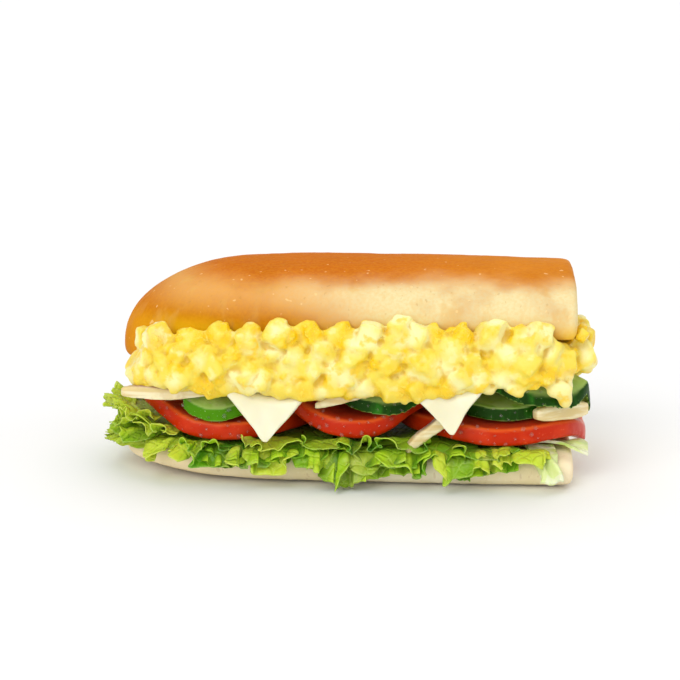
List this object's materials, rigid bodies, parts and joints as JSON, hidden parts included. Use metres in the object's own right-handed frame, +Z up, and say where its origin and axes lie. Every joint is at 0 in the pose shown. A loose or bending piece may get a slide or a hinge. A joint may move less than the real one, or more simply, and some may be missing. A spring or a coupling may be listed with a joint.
{
  "type": "submarine sandwich",
  "caption": "Half of a long sandwich roll, cut square at one end, with egg salad, cheese, onion, cucumber, tomato and lettuce showing along its sides.",
  "frame": {"origin": "middle of the bottom bread's flat underside, halfway between the nose and the cut end of the loaf", "axes": "+X along the loaf towards the cut end, the round nose at -X; -Y is the front that the picture shows; +Z up"},
  "size_m": [0.1644, 0.0869, 0.0696],
  "materials": {
    "crust": "golden brown crust with a slight gloss, paler and matt towards its lower edge",
    "bread": "pale soft crust with small light specks",
    "egg": "chopped egg white and yolk in a glossy pale yellow dressing",
    "tomato": "wet red skin at the rim, paler flesh on the faces",
    "cucumber": "wet dark green skin at the rim, pale green flesh on the faces",
    "cheese": "smooth pale cream with a soft shine",
    "onion": "translucent whitish tan, with a thin purple skin line",
    "lettuce": "bright yellow-green, veined, with a wet shine",
    "pale_lettuce": "whitish green crisp rib, with a wet shine"
  },
  "bodies": {
    "root": {"bun_top": "crust", "bun_bottom": "bread", "egg_salad": "egg", "cheese_1": "cheese", "cheese_2": "cheese", "onion_1": "onion", "onion_2": "onion", "onion_3": "onion", "onion_4": "onion", "onion_5": "onion", "onion_6": "onion", "onion_7": "onion", "cucumber_1": "cucumber", "cucumber_2": "cucumber", "cucumber_3": "cucumber", "cucumber_4": "cucumber", "cucumber_5": "cucumber", "cucumber_6": "cucumber", "cucumber_7": "cucumber", "tomato_left": "tomato", "tomato_middle": "tomato", "tomato_right": "tomato", "lettuce_1": "lettuce", "lettuce_2": "lettuce", "lettuce_3": "lettuce", "lettuce_4": "lettuce", "lettuce_5": "lettuce", "lettuce_nose_low": "lettuce", "lettuce_nose_high": "lettuce", "lettuce_shred_1": "pale_lettuce", "lettuce_shred_2": "pale_lettuce", "lettuce_shred_3": "pale_lettuce", "lettuce_shred_4": "pale_lettuce"}
  },
  "joints": []
}
